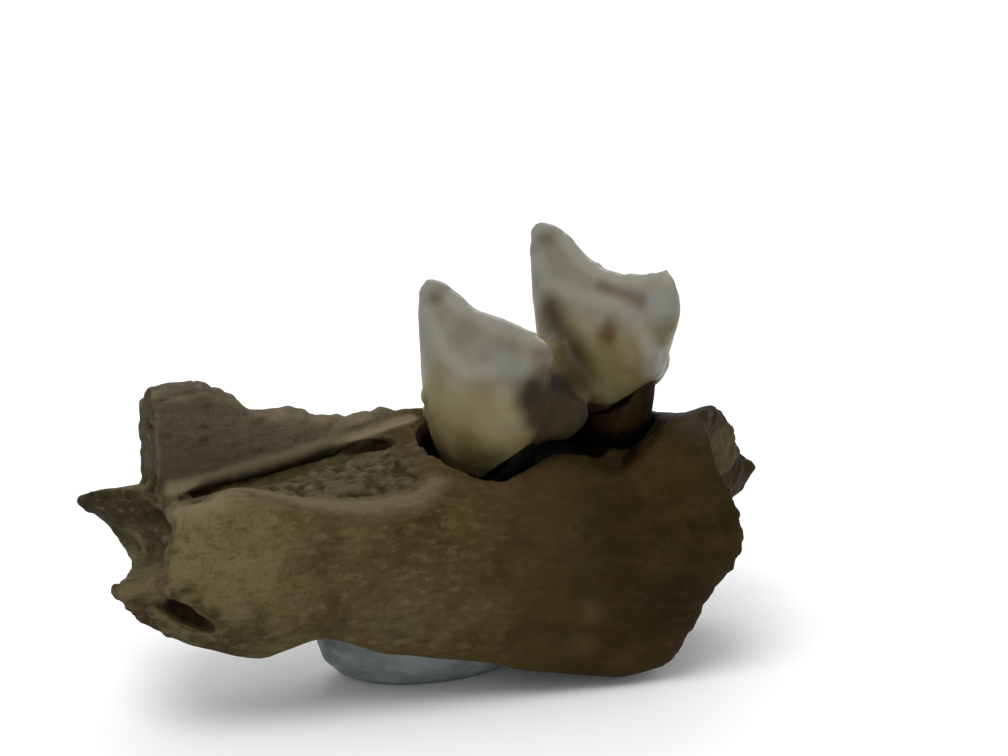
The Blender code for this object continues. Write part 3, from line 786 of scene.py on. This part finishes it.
# Marks on the enamel, among them painted shade and painted light: place, reach, colour and share.
MARKS = (
    ((-0.2, 1.6, 16.9), 2.2, (104, 100, 86), 0.8), ((6.0, 3.9, 18.3), 2.6, (106, 102, 88), 0.6),
    ((-0.04, 1.68, 16.97), 0.8, (64, 56, 46), 0.9), ((6.03, 4.01, 18.4), 0.8, (64, 56, 46), 0.9),
    ((0.5, -0.9, 15.9), 1.9, (98, 92, 80), 0.7), ((1.5, -3.3, 15.8), 2.0, (90, 84, 74), 0.8),
    ((1.0, -3.35, 15.1), 1.2, (118, 120, 113), 0.8), ((1.6, -4.4, 15.05), 1.0, (110, 113, 107), 0.8),
    ((-0.75, -0.3, 13.7), 1.5, (96, 84, 50), 0.6), ((0.46, -2.87, 14.0), 1.7, (98, 85, 50), 0.6),
    ((-0.15, -2.76, 10.6), 1.7, (66, 56, 30), 0.9), ((0.48, -3.57, 10.9), 1.4, (60, 52, 28), 0.9),
    ((-0.8, -0.6, 10.3), 1.6, (70, 60, 33), 0.8), ((6.75, -1.42, 15.42), 1.2, (76, 56, 24), 0.9),
    ((7.27, -2.52, 14.13), 1.4, (96, 82, 46), 0.4), ((8.7, -3.3, 15.6), 1.1, (84, 78, 48), 0.8),
    ((2.3, -4.8, 15.9), 1.3, (76, 62, 44), 0.9), ((2.35, -4.9, 15.0), 1.2, (84, 74, 60), 0.8),
    # The last mark on this line and both on the next are painted shade at the dark notch between the lobes.
    ((5.3, 2.6, 15.0), 1.4, (92, 80, 42), 0.8), ((1.8, -4.7, 13.95), 1.0, (24, 20, 12), 0.85),
    ((4.4, -1.4, 13.3), 1.6, (26, 21, 12), 0.95), ((2.0, -4.6, 14.4), 0.6, (34, 28, 18), 0.6),
    # Painted light: a pale mark lifts the shade on the front lobe's low underside.
    ((6.4, -1.4, 12.5), 1.4, (122, 112, 80), 0.7),
)
# The enamel's colours, from its foot to its crests, with painted sky light at the crests, and what stains
# it and where painted shade falls.
YELLOW_ENAMEL = tint(102, 92, 59)
CREAM_ENAMEL = tint(121, 112, 80)
PALE_SKYLIT_ENAMEL = tint(122, 120, 104)
BLUE_ENAMEL = tint(120, 122, 114)
PALE_DENTINE = tint(114, 111, 100)
GREY_DENTINE = tint(106, 102, 90)
PALE_EDGE = tint(136, 135, 119)
PALE_WAIST_SHADE = tint(54, 45, 23)
DARK_WAIST_SHADE = tint(40, 33, 16)
OLIVE_STAIN_AND_SHADE = tint(50, 41, 13)
BROWN_STREAK = tint(76, 62, 42)
NECK_STAIN_AND_SHADE = tint(42, 30, 11)
ENAMEL_DIRT_AND_SHADE = tint(50, 40, 22)


def crown_finish():
    """Cream enamel, greyer over the worn dentine, with stains low down, painted sky light on the crests,
    painted shade in the waist, the notch, the olive groove and under the front lobe, and painted light on
    that lobe's shaded underside.
    """
    glow = {"Subsurface_Weight": 0.1, "Subsurface_Scale": 0.5 * METRE}
    crown = Finish("molar_enamel", Specular_IOR_Level=0.22, **glow)
    cloud = crown.noise(2.4, detail=2.0)
    fine = crown.noise(0.6, detail=3.0)
    tops = crown.painted("height") + (cloud - 0.5) * 0.3
    colour = crown.blend(tops.step(0.0, 0.5), YELLOW_ENAMEL, CREAM_ENAMEL)
    # Paler enamel and painted sky light: the tops of the crests go grey-white.
    colour = crown.blend(tops.step(0.4, 0.85), colour, PALE_SKYLIT_ENAMEL)
    facet = crown.painted("facet")
    worn = crown.blend(fine.step(0.2, 0.8), GREY_DENTINE, PALE_DENTINE)
    colour = crown.blend(facet * 0.7, colour, worn)
    colour = crown.blend(crown.painted("blue") * 0.7, colour, BLUE_ENAMEL)
    # Painted shade: the waist between the lobes goes dark grey-brown, where it lies in shade.
    waist_shade = crown.blend(fine.step(0.2, 0.8), DARK_WAIST_SHADE, PALE_WAIST_SHADE)
    colour = crown.blend(crown.painted("waist"), colour, waist_shade)
    for place, size, shade, share in MARKS:
        colour = crown.blend(crown.spot(place, size, cloud) * share, colour, tint(*shade))
    # Stain and painted shade: the olive line darkens the groove at the back of the front lobe.
    colour = crown.blend(crown.painted("olive") * 0.95, colour, OLIVE_STAIN_AND_SHADE)
    colour = crown.blend(crown.painted("streak") * 0.7, colour, BROWN_STREAK)
    colour = crown.blend(crown.painted("facet_edge") * 0.6, colour, PALE_EDGE)
    # Stain and painted shade: the enamel's foot goes brown where it lies under the lobe.
    neck = crown.painted("neck")
    colour = crown.blend((neck + (fine - 0.5) * 0.3).step(0.2, 0.8) * 0.9, colour, NECK_STAIN_AND_SHADE)
    # Dirt and painted shade: darker where the enamel lies deep, in its pits and creases.
    colour = crown.blend(crown.painted("lies_deep") * 0.35, colour, ENAMEL_DIRT_AND_SHADE)
    rough = crown.painted("waist") * 0.45 + neck * 0.2 + facet * 0.08 + 0.38
    return crown.feed(Base_Color=colour, Roughness=rough, Normal=crown.bump(fine, 0.02, 0.25))


def shape_crown(crown):
    """Eases the waist, wears the facets, draws the foot down over the roots, and paints the masks."""
    points = points_of(crown)
    normals = normals_of(crown)
    along, across, height = row_coordinates(points)
    lobe_side = np.interp(height, WAIST_HEIGHTS, WAIST_EDGE)
    waist = step(along - lobe_side, *WAIST_FADE) * step(along, *WAIST_FRONT) * step(height, *WAIST_TOP)
    waist *= np.maximum(step(across, *WAIST_NEAR_SIDE), step(height, *WAIST_FOOT))
    front_neck = step(points[:, 2], *FRONT_NECK) * step(along, *FRONT_NECK_ALONG)
    neck = np.maximum(front_neck, BACK_NECK_SHARE * step(points[:, 2], *BACK_NECK))
    facet = np.zeros(len(points))
    edge = np.zeros(len(points))
    for crest, line, place in zip(CREST_LINES, FACET_LINES, (0.0, CREST_PITCH)):
        local = along - place
        between = step(local, *FACET_FRONT) * step(height, *FACET_HEIGHT)
        facet = np.maximum(facet, between * step(local, *FACET_BACK))
        edge = np.maximum(edge, step(line_distance(points, line), FACET_EDGE_REACH, 0.0))
        top = step(line_distance(points, crest), FACET_EDGE_REACH, 0.0)
        edge = np.maximum(edge, top * CREST_SHARE)
    average = neighbour_average(crown)
    for _ in range(WAIST_ROUNDS):
        points += (average(points) - points) * waist[:, None] * 0.5
    points += normals * waves(points, CROWN_WAVES)[:, None]
    points += normals * (edge * FACET_EDGE_RISE - facet * FACET_WEAR)[:, None]
    points += normals * (marked(points, NUBS, NUB_REACH) * NUB_RISE)[:, None]
    foot = step(height, *FOOT_HEIGHT) * step(normals[:, 2], 0.0, -0.6)
    points[:, 2] -= foot * FOOT_DROP
    move_points(crown, points)
    paint(crown, "height", step(height, *ENAMEL_HEIGHT))
    paint(crown, "neck", neck)
    paint(crown, "facet", facet)
    paint(crown, "waist", waist)
    paint(crown, "facet_edge", edge)
    paint(crown, "olive", step(line_distance(points, OLIVE_LINE), *OLIVE_REACH))
    paint(crown, "streak", step(line_distance(points, STREAK_LINE), *STREAK_REACH))
    paint(crown, "blue", step(line_distance(points, BLUE_LINE), *BLUE_REACH))


molar_crown = fine_copy("molar_crown", "molar_crown_enamel", CROWN_MESH, CROWN_ROUNDS)
shape_crown(molar_crown)
paint(molar_crown, "lies_deep", step(hollowness(molar_crown, PIT_ROUNDS), *ENAMEL_PITS))
set_finish(molar_crown, crown_finish())
hand_over(molar_crown, "molar_crown")


# The molar's two roots are dentine under a thin rough cement, dark brown from the ground.
# Each goes down into its own socket in the bone, under one of the crown's two lobes.
# Low down the roots are painted black, for the shade deep in their sockets and for dirt.
ROOT_MESH = 0.1
ROOT_ROUNDS = 8
# The neck, which is the root's last stretch up to its top, rises into the crown.
NECK_RISE = 0.6
NECK_STRETCH = (0.6, 0.1)
NO_PITS = (0.5, 0.0)
ROOT_GRAIN = (0.4, 0.03)
ROOT_FIBRE_DEPTH = 0.03
FIRST_ROOT_SEED = 20
# Fibres run up and down a root, and the edge of its painted shade and dirt is this uneven.
UP_ROOT = (1.0, 1.0, 0.3)
DARK_EDGE_WANDER = 0.4
DARK_EDGE_FADE = 0.3
PALE_ROOT = tint(46, 33, 13)
DARK_ROOT = tint(32, 21, 6)
ROOT_SHADE_AND_DIRT = tint(6, 4, 2)
# Each root with the level at x = 0 where its painted shade and dirt start, and how steeply that level
# climbs.
ROOTS = (("molar_root_back", 11.3, 0.0), ("molar_root_front", 8.1, 0.35))


def root_finish(node, dark_level, dark_slope):
    """Dark brown at the neck and painted black, for shade and dirt, from some level down, which climbs
    along the row.
    """
    root = Finish(node + "_dentine", Specular_IOR_Level=0.08)
    streaks = root.noise(0.5, detail=3.0, place=root.stretch(root.place, UP_ROOT))
    over = root.axis("Z") - root.axis("X") * dark_slope + (streaks - 0.5) * DARK_EDGE_WANDER
    shaded_and_dirty = over.step(dark_level + DARK_EDGE_FADE, dark_level - DARK_EDGE_FADE)
    colour = root.blend(streaks.step(0.3, 0.7), DARK_ROOT, PALE_ROOT)
    # Painted shade and dirt: black from that level down, where the root lies deep in its socket.
    colour = root.blend(shaded_and_dirty, colour, ROOT_SHADE_AND_DIRT)
    skin = root.bump(streaks, 0.04, 0.5)
    return root.feed(Base_Color=colour, Roughness=0.6 + streaks * 0.2, Normal=skin)


for number, (node, dark_level, dark_slope) in enumerate(ROOTS):
    molar_root = fine_copy(node, node + "_dentine", ROOT_MESH, ROOT_ROUNDS)
    root_points = points_of(molar_root)
    below_top = root_points[:, 2].max() - root_points[:, 2]
    root_points[:, 2] += step(below_top, *NECK_STRETCH) * NECK_RISE
    move_points(molar_root, root_points)
    for mask in ("spongy", "raw"):
        paint(molar_root, mask, np.zeros(len(root_points)))
    dentine = root_finish(node, dark_level, dark_slope)
    weather(molar_root, dentine, NO_PITS, ROOT_GRAIN, ROOT_FIBRE_DEPTH, FIRST_ROOT_SEED + number, UP_ROOT)
    hand_over(molar_root, node)


# The stand is a lump of blue-grey putty, rolled by hand, pressed flat on the card below
# and squeezed up round the underside of the bone, so that it is creased and finger-marked.
PUTTY_MESH = 0.09
PUTTY_ROUNDS = 30
# The foot stays flat, and the lumps start above it.
FLAT_FOOT = (0.1, 0.5)
PUTTY_LUMPS = ((1.8, 0.12, 31), (0.7, 0.04, 32))
# Folds lie longer along the lump than up it, and only in some patches.
FOLD_WIDTH = 0.16
FOLD_DEPTH = 0.1
FOLD_SIZE = 1.9
FOLD_SEED = 34
PATCH_SIZE = 2.4
PATCH_SEED = 35
FOLD_LIE = np.array((0.4, 0.5, 1.2))
PUTTY_BULGES = (0.01, 0.06)
PUTTY_HOLLOWS = (0.01, 0.05)
SMEAR_LIE = (0.35, 0.6, 1.0)
SMEAR_TURN = (0.0, 0.3, 0.0)
PALE_PUTTY = tint(124, 132, 129)
DARK_PUTTY = tint(102, 110, 107)
PALE_SMEAR = tint(146, 154, 151)
DARK_SMEAR = tint(84, 92, 92)
PUTTY_FOLD = tint(66, 74, 78)
PUTTY_HOLLOW = tint(60, 68, 72)
PUTTY_BULGE_HIGHLIGHT = tint(138, 146, 144)


def putty_finish():
    """Matt blue-grey, smeared paler and darker, with shade in its folds and hollows and a painted highlight
    on its bulges.
    """
    putty = Finish("blue_grey_putty", Roughness=0.6, Specular_IOR_Level=0.2)
    cloud = putty.noise(1.8, detail=3.0)
    colour = putty.blend(cloud.step(0.35, 0.65), DARK_PUTTY, PALE_PUTTY)
    drawn = putty.stretch(putty.place, SMEAR_LIE, turn=SMEAR_TURN)
    smear = putty.noise(0.5, detail=3.0, place=drawn)
    colour = putty.blend(smear.step(0.5, 0.7) * 0.4, colour, PALE_SMEAR)
    colour = putty.blend(smear.step(0.46, 0.3) * 0.25, colour, DARK_SMEAR)
    colour = putty.blend(putty.painted("fold") * 0.3, colour, PUTTY_FOLD)
    colour = putty.blend(putty.painted("lies_deep") * 0.4, colour, PUTTY_HOLLOW)
    # Painted highlight: the bulges of the putty go paler.
    colour = putty.blend(putty.painted("stands_out") * 0.4, colour, PUTTY_BULGE_HIGHLIGHT)
    return putty.feed(Base_Color=colour, Normal=putty.bump(putty.noise(0.3), 0.03, 0.4))


def shape_putty(putty):
    """Makes the lump uneven, and presses folds into it."""
    points = points_of(putty)
    free = step(points[:, 2], *FLAT_FOOT)
    lumps = waves(points, PUTTY_LUMPS) * free
    folds = step(np.abs(grain(points * FOLD_LIE, FOLD_SIZE, FOLD_SEED)), FOLD_WIDTH, 0.0)
    folds *= free * step(grain(points, PATCH_SIZE, PATCH_SEED), 0.0, 0.45)
    points += normals_of(putty) * (lumps - folds * FOLD_DEPTH)[:, None]
    move_points(putty, points)
    paint(putty, "fold", folds)


stand_putty = fine_copy("stand_putty", "stand_putty_lump", PUTTY_MESH, PUTTY_ROUNDS)
shape_putty(stand_putty)
paint_relief(stand_putty, RELIEF_ROUNDS, PUTTY_BULGES, PUTTY_HOLLOWS)
set_finish(stand_putty, putty_finish())
hand_over(stand_putty, "stand_putty")
